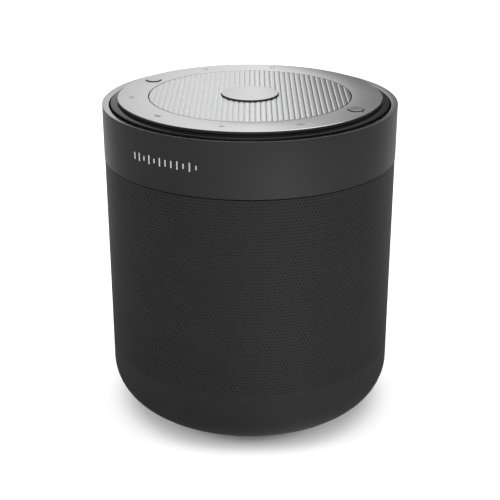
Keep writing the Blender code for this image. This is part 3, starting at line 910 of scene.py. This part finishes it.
def etchedSymbols():
    # Plain control symbols round the plate, in line with the two small buttons.
    size = etching["size"]

    def bar(x, y, wide, tall):
        left, right, low, high = x - wide, x + wide, y - tall, y + tall
        return [(left, low), (right, low), (right, high), (left, high)]

    def arrow(x, way):
        return [(x - way * size, -size), (x + way * size * 0.6, 0), (x - way * size, size)]

    dot = [polar(0.8 * size, math.tau * i / 24) for i in range(24)]
    minus = bar(0, 0, size, size * 0.22)
    symbols = {
        6: [dot],
        42: [minus],
        78: [bar(-size * 0.5, 0, size * 0.25, size), bar(size * 0.5, 0, size * 0.25, size)],
        114: [dot],
        -174: [arrow(0.2 * mm, -1), bar(-size, 0, size * 0.2, size)],
        -138: [arrow(-0.5 * mm, -1), arrow(0.8 * mm, -1)],
        -102: [arrow(0, 1)],
        -66: [arrow(-0.8 * mm, 1), arrow(0.5 * mm, 1)],
    }
    shapes = []
    for degrees, outlines in symbols.items():
        angle = math.radians(degrees)
        turn = Matrix.Rotation(angle - front, 3, "Z")
        centre = Vector((*polar(etching["circle"], angle), plateTop))
        for outline in outlines:
            rings = []
            for lift in (-etching["below"], etching["above"]):
                rings.append([centre + turn @ Vector((x, y, lift)) for x, y in outline])
            shapes.append(lofted("symbol", rings, [etchedMetal]))
    return joined("etched_symbols", shapes)


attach(etchedSymbols(), "housing")
print("top made")


# The buttons. Each keeps the lip and stem that hold it under the plate.


def button(name, node, body, form, centre=(0.0, 0.0)):
    low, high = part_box(node)
    radius, edge, dish = form["radius"], form["edge"], form["dish"]
    lipTop = plateLow.z - buttonFit["lipDrop"]
    lipLow = lipTop - buttonFit["lipThickness"]
    lipRadius = radius + buttonFit["lip"]
    outline = [
        (0, high.z - dish),
        (radius * 0.55, high.z - dish * 0.7),
        (radius - 2 * edge, high.z),
        (radius, high.z, edge),
        (radius, lipTop),
        (lipRadius, lipTop, buttonFit["lipEdge"]),
        (lipRadius, lipLow, buttonFit["lipEdge"]),
        (form["stem"], lipLow),
        (form["stem"], low.z, buttonFit["lipEdge"]),
        (0, low.z),
    ]
    piece = turned(name, outline, [capMetal, shellPlastic], 192, centre, 5)
    # Only the cap's top is metal. Its skirt, lip and stem are moulded black; the black skirt is
    # painted shade for the gap under the cap.
    secondFinish(piece, lambda face: face.center.z < high.z - edge or face.normal.z < 0.2)
    standsFor(piece, node, body)


button("play_cap", "play_button", "play_button_body", playButton)
for node, place in smallPlaces.items():
    button(node + "_cap", node, node.replace("button", "body"), smallButton, place)
print("buttons made")


# The rear sockets

sockets = {
    "panel": (25.4 * mm, 9.4 * mm),
    "panelFace": 47.95 * mm,
    "panelDepth": 1.6 * mm,
    "panelEdge": 0.2 * mm,
    "gap": 0.3 * mm,
    "inset": 0.2 * mm,  # from the panel's face to the mouths
    "chargeX": -5.5 * mm,
    "charge": (9.0 * mm, 3.2 * mm),
    "chargeDepth": 7.3 * mm,
    "chargeBore": 6.2 * mm,
    "chargeWall": 0.3 * mm,
    "chargeLip": 0.1 * mm,
    "auxX": 6.5 * mm,
    "auxRadius": 2.9 * mm,
    "auxDepth": 12.0 * mm,
    "auxBore": (1.75 * mm, 10.0 * mm),  # radius and depth
    "auxEdges": (0.2 * mm, 0.15 * mm),  # inside and outside
    "auxRing": (0.9 * mm, 1.9 * mm),  # from the mouth
}


panelFace, edge, gap = sockets["panelFace"], sockets["panelEdge"], sockets["gap"]
levels = [
    (panelFace - sockets["panelDepth"], 0),
    (panelFace - edge, 0),
    (panelFace - edge * 0.3, -edge * 0.3),
    (panelFace, -edge),
]
panel = slotAlongY("socket_panel", sockets["panel"], 0, levels, [shellPlastic])
levels = [
    (panelFace - 4 * mm, gap),
    (panelFace - edge, gap),
    (panelFace + spare, gap + edge + spare),
]
chargeHole = slotAlongY("charge_cutter", sockets["charge"], sockets["chargeX"], levels, [])
auxWidth = 2 * sockets["auxRadius"]
auxSize = (auxWidth + 2 * hair, auxWidth)  # a slot whose ends nearly meet is a round hole
auxHole = slotAlongY("aux_cutter", auxSize, sockets["auxX"], levels, [], 24)
carve(panel, chargeHole, auxHole)
standsFor(panel, "port_panel")

mouth = panelFace - sockets["inset"]
boreEnd = mouth - sockets["chargeBore"]
lip, wall = sockets["chargeLip"], sockets["chargeWall"]
levels = [(mouth - sockets["chargeDepth"], 0), (mouth - lip, 0), (mouth, -lip)]
chargeAt = (sockets["charge"], sockets["chargeX"])
charge = slotAlongY("charging_socket_shell", *chargeAt, levels, [steel])
levels = [(boreEnd, -wall), (mouth - lip, -wall), (mouth + spare, lip - wall + spare)]
carve(charge, slotAlongY("bore_cutter", *chargeAt, levels, []))
standsFor(charge, "charging_socket")

tongue = {
    "size": (6.7 * mm, 0.7 * mm),
    "length": 5.2 * mm,
    "taper": 0.2 * mm,
    "contacts": 12,
    "contactPitch": 0.5 * mm,
    "contactHalf": 0.11 * mm,  # half its width
    "contactLift": 0.04 * mm,
    "contactSpan": (4.0 * mm, 0.5 * mm),  # back from the tongue's tip
}
tip, taper = boreEnd + tongue["length"], tongue["taper"]
levels = [(boreEnd, 0), (tip - taper, 0), (tip, -taper / 2)]
tongueAt = (tongue["size"], sockets["chargeX"])
shapes = [slotAlongY("charging_tongue", *tongueAt, levels, [bezelPlastic], 4)]
for side in (1, -1):
    face = band["windowHeight"] + side * tongue["size"][1] / 2
    proud = face + side * tongue["contactLift"]
    for i in range(tongue["contacts"]):
        x = sockets["chargeX"] + (i - (tongue["contacts"] - 1) / 2) * tongue["contactPitch"]
        left, right = x - tongue["contactHalf"], x + tongue["contactHalf"]
        ring = [(left, face), (right, face), (right, proud), (left, proud)]
        rings = [[(px, tip - back, pz) for px, pz in ring] for back in tongue["contactSpan"]]
        shapes.append(lofted("contact", rings, [slotFinishes["brass"]]))
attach(joined("charging_tongue", shapes), "housing")


def auxSocket():
    # A turned barrel, laid along Y, with a bright contact ring inside its mouth.
    radius, depth = sockets["auxRadius"], sockets["auxDepth"]
    bore, boreDepth = sockets["auxBore"]
    innerEdge, outerEdge = sockets["auxEdges"]
    outline = [
        (0, -boreDepth),
        (bore, -boreDepth),
        (bore, 0, innerEdge),
        (radius, 0, outerEdge),
        (radius, -depth),
        (0, -depth),
    ]
    barrel = turned("aux_barrel", outline, [bezelPlastic], 96)
    near, far = sockets["auxRing"]
    sunk, proud, slope = bore + 0.01 * mm, bore - 0.12 * mm, 0.1 * mm
    outline = [(sunk, -near), (sunk, -far), (proud, slope - far), (proud, -slope - near)]
    piece = joined("aux_barrel", [barrel, turned("aux_ring", outline, [steel], 96)])
    lay = Matrix.Translation((sockets["auxX"], mouth, band["windowHeight"]))
    piece.data.transform(lay @ Matrix.Rotation(-math.pi / 2, 4, "X"))
    return piece


standsFor(auxSocket(), "aux_socket")
print("sockets made")


# The underside: cover, foot and screws

base = {
    "radius": 34.3 * mm,
    "edge": 0.25 * mm,
    "flange": 2.7 * mm,
    "flangeUnder": 3.3 * mm,
    "groove": 2.4 * mm,  # height of its floor
    "grooveEdge": 0.12 * mm,
    "gap": 0.3 * mm,
    "footInner": 20.0 * mm,
    "footEdge": 0.5 * mm,
    "screwCircle": 30.5 * mm,
    "screwAngles": (90, 210, 330),
    "seat": 3.2 * mm,
    "sinkBevel": 0.15 * mm,
}
screws = {
    "headRadius": 2.1 * mm,
    "headHeight": 1.4 * mm,
    "headDome": 0.6 * mm,
    "headEdge": 0.08 * mm,
    "shank": 1.1 * mm,
    "point": 1.2 * mm,
    "cross": (1.15 * mm, 0.26 * mm),  # half the length and half the width of each slot
    "crossDepth": 0.8 * mm,
}
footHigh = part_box("rubber_foot")[1]
footOuter, footInner = footHigh.x, base["footInner"]
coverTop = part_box("base_cover")[1].z
gap = base["gap"]
flange = base["radius"] + base["flange"]
coverOutline = [
    (0, coverTop),
    (flange, coverTop),
    (flange, base["flangeUnder"]),
    (base["radius"], base["flangeUnder"]),
    (base["radius"], cupUnder, base["edge"]),
    (footOuter + gap, cupUnder, base["grooveEdge"]),
    (footOuter + gap, base["groove"]),
    (footInner - gap, base["groove"]),
    (footInner - gap, cupUnder, base["grooveEdge"]),
    (0, cupUnder),
]
cover = turned("underside_cover", coverOutline, [shellPlastic])
head, shank, bevel = screws["headRadius"] + gap, screws["shank"] + gap, base["sinkBevel"]
sink = [
    (0, coverTop + spare),
    (shank, coverTop + spare),
    (shank, base["seat"]),
    (head, base["seat"]),
    (head, cupUnder + bevel),
    (head + bevel + spare, cupUnder - spare),
    (0, cupUnder - spare),
]
for degrees in base["screwAngles"]:
    place = polar(base["screwCircle"], math.radians(degrees))
    carve(cover, turned("sink_cutter", sink, [], 48, place))
standsFor(cover, "base_cover")

footOutline = [
    (footOuter, footHigh.z),
    (footOuter, 0, base["footEdge"]),
    (footInner, 0, base["footEdge"]),
    (footInner, footHigh.z),
]
standsFor(turned("foot_ring", footOutline, [blackRubber], arcSteps=6), "rubber_foot")


def baseScrew(number):
    # A domed head with a cross recess, driven from below.
    low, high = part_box(f"base_screw_{number}")
    x, y = (low.x + high.x) / 2, (low.y + high.y) / 2
    under = low.z + screws["headHeight"]
    outline = [
        (0, high.z),
        (screws["shank"] * 0.4, high.z),
        (screws["shank"], high.z - screws["point"]),
        (screws["shank"], under),
        (screws["headRadius"], under, screws["headEdge"]),
        (screws["headRadius"], low.z, screws["headDome"]),
        (0, low.z),
    ]
    screw = turned(f"cross_head_screw_{number}", outline, [steel], 48, (x, y), 5)
    for turn in (0, math.pi / 2):
        spin = Matrix.Rotation(turn, 3, "Z")
        rings = []
        # Each slot narrows with its depth.
        for z, share in ((low.z - 0.2 * mm, 1.15), (low.z + screws["crossDepth"], 0.55)):
            reach, half = [size * share for size in screws["cross"]]
            corners = [(-reach, -half), (reach, -half), (reach, half), (-reach, half)]
            rings.append([Vector((x, y, z)) + spin @ Vector((*corner, 0)) for corner in corners])
        carve(screw, lofted("cross_cutter", rings, []))
    standsFor(screw, f"base_screw_{number}")


for number in (1, 2, 3):
    baseScrew(number)
print("underside made")


# Floor, lights, reflection cards and camera

studio = {
    "world": 0.82,
    "overhead": {"place": (0.0, 0.32, 1.3), "size": 2.0, "power": 18.5},
    "left": {"place": (-1.0, -0.1, 0.25), "size": 0.6, "power": 11.0},
    "right": {"place": (1.0, -0.1, 0.25), "size": 0.6, "power": 11.0},
    "camera": (0.0, -0.37249, rimZ + 0.0979),
    "pitch": 22.385,  # degrees down
    "lens": 80.82,
    # Brightness of the reflection cards by the angle round from the front, right positive.
    "floorCard": {
        -180: 0.6, -160: 0.8, -145: 0.85, -120: 0.3, -60: 0.22, -20: 0.44, 0: 0.66, 24: 0.95,
        47: 0.56, 68: 0.4, 94: 0.3, 111: 0.32, 127: 0.5, 150: 0.7, 180: 0.6,
    },
    "backCard": {
        -180: 0.72, -172: 0.64, -164: 0.54, -150: 0.3, -110: 0.3, -60: 0.5, 0: 0.6, 60: 0.4,
        120: 0.22, 152: 0.17, 167: 0.12, 171: 0.3, 174.5: 0.58, 177: 0.71, 180: 0.74,
    },
    "nearFloor": {0.03: 0.45, 0.06: 0.55, 0.1: 0.8, 0.2: 1.0},  # share, by metres out
    "floorCardRadii": (0.03, 2.0),
    "floorCardLift": 0.5 * mm,
    # Share of the back card by the angle up from the plate, and the light from above.
    "backHeights": {0: 0.0, 6: 0.3, 12: 1.0, 40: 1.0, 52: 0.0},
    "backTilt": 170.0,  # degrees lower for each metre to the left
    "aboveHeights": {0: 0.1, 30: 0.15, 46: 1.0},
    "aboveDepths": {-0.3: 0.2, -0.22: 0.8, 0.02: 0.9, 0.08: 0.32, 0.3: 0.3},
    "domeRadius": 0.3,
    "domeBase": 0.1,
}


def staged(name, points, faces, material):
    thing = meshObject(name, points, faces, [material])
    thing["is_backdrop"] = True
    return thing


def studioFloor():
    # A pale painted board, faintly uneven.
    material, tree, shader, place = newMaterial("painted_board", 0.9, ior=1.45)
    tintBy(tree, shader, cloudOf(tree, place, 0.5), "#f2f2f2", "#f5f5f5")
    size = 6.0
    points = [(-size, -size, 0), (size, -size, 0), (size, size, 0), (-size, size, 0)]
    staged("floor", points, [(0, 1, 2, 3)], material)


def softbox(name):
    # Points at the middle of the floor.
    box = studio[name]
    data = bpy.data.lights.new(name, "AREA")
    data.size = box["size"]
    data.energy = box["power"]
    light = bpy.data.objects.new(name, data)
    light.location = box["place"]
    light.rotation_euler = (-Vector(box["place"])).to_track_quat("-Z", "Y").to_euler()
    bpy.context.scene.collection.objects.link(light)
    light.visible_camera = False
    light.visible_glossy = False  # the cards give the reflections


def graded(tree, factor, levels, low, high):
    # Grey levels along a ramp, given at places from low to high.
    values = {"From Min": low, "From Max": high}
    share = addNode(tree, "MapRange", values, {"Value": factor})
    ramp = addNode(tree, "ValToRGB", links={"Fac": share.outputs["Result"]})
    stops = ramp.color_ramp.elements
    for place, level in levels.items():
        stop = stops.new((place - low) / (high - low))
        stop.color = (level, level, level, 1.0)
    stops.remove(stops[0])
    stops.remove(stops[-1])
    return ramp.outputs["Color"]


def cardMaterial(name):
    # Glows with a graded brightness. The angle round, in degrees, starts at the front.
    material = bpy.data.materials.new(name)
    material.use_nodes = True
    material.cycles.emission_sampling = "NONE"
    tree = material.node_tree
    tree.nodes.remove(tree.nodes["Principled BSDF"])
    glow = addNode(tree, "Emission")
    tree.links.new(glow.outputs["Emission"], tree.nodes["Material Output"].inputs["Surface"])
    place = objectPlace(tree)
    axes = addNode(tree, "SeparateXYZ", links={"Vector": place}).outputs
    forward = calculate(tree, "MULTIPLY", axes["Y"], -1.0)
    around = calculate(tree, "DEGREES", calculate(tree, "ARCTAN2", axes["X"], forward))
    return material, tree, glow, place, axes, around


def onlyReflected(card):
    for ray in ("camera", "diffuse", "transmission", "volume_scatter", "shadow"):
        setattr(card, "visible_" + ray, False)


def floorCard():
    material, tree, glow, place, _, around = cardMaterial("graded_floor_card")
    near = graded(tree, awayFromAxis(tree, place), studio["nearFloor"], 0.0, 0.5)
    level = graded(tree, around, studio["floorCard"], -180, 180)
    tree.links.new(calculate(tree, "MULTIPLY", level, near), glow.inputs["Strength"])
    points, count = [], 64
    for radius in studio["floorCardRadii"]:
        for step in range(count):
            points.append((*polar(radius, math.tau * step / count), studio["floorCardLift"]))
    onlyReflected(staged("floor_card", points, bridged(count, 2), material))


def domeCard():
    material, tree, glow, _, axes, around = cardMaterial("graded_dome_card")
    reach = studio["domeRadius"]
    height = calculate(tree, "DIVIDE", axes["Z"], reach)
    height = calculate(tree, "DEGREES", calculate(tree, "ARCSINE", height))
    back = graded(tree, around, studio["backCard"], -180, 180)
    tilt = calculate(tree, "MULTIPLY", axes["X"], -studio["backTilt"])
    share = graded(tree, calculate(tree, "ADD", height, tilt), studio["backHeights"], 0, 90)
    above = calculate(
        tree,
        "MULTIPLY",
        graded(tree, height, studio["aboveHeights"], 0, 90),
        graded(tree, axes["Y"], studio["aboveDepths"], -reach, reach),
    )
    level = calculate(tree, "ADD", calculate(tree, "MULTIPLY", back, share), above)
    tree.links.new(level, glow.inputs["Strength"])
    points, rings, count = [], 24, 64
    for ring in range(rings + 1):
        up = math.pi / 2 * ring / rings * 0.999  # leaves a pinhole at the top
        wide, high = polar(reach, up)
        for step in range(count):
            points.append((*polar(wide, math.tau * step / count), high))
    card = staged("dome_card", points, bridged(count, rings + 1), material)
    card.location.z = studio["domeBase"]
    onlyReflected(card)


studioFloor()
floorCard()
domeCard()
world = bpy.data.worlds.new("studio")
world.use_nodes = True
background = world.node_tree.nodes["Background"]
background.inputs["Color"].default_value = (1.0, 1.0, 1.0, 1.0)
background.inputs["Strength"].default_value = studio["world"]
bpy.context.scene.world = world
bpy.context.scene.view_settings.view_transform = "Standard"
for name in ("overhead", "left", "right"):
    softbox(name)

cameraData = bpy.data.cameras.new("camera")
cameraData.lens = studio["lens"]
cameraData.clip_start = 0.01
camera = bpy.data.objects.new("camera", cameraData)
camera.location = studio["camera"]
camera.rotation_euler = (math.radians(90 - studio["pitch"]), 0, 0)
bpy.context.scene.collection.objects.link(camera)
bpy.context.scene.camera = camera
print("studio made")

low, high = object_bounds()
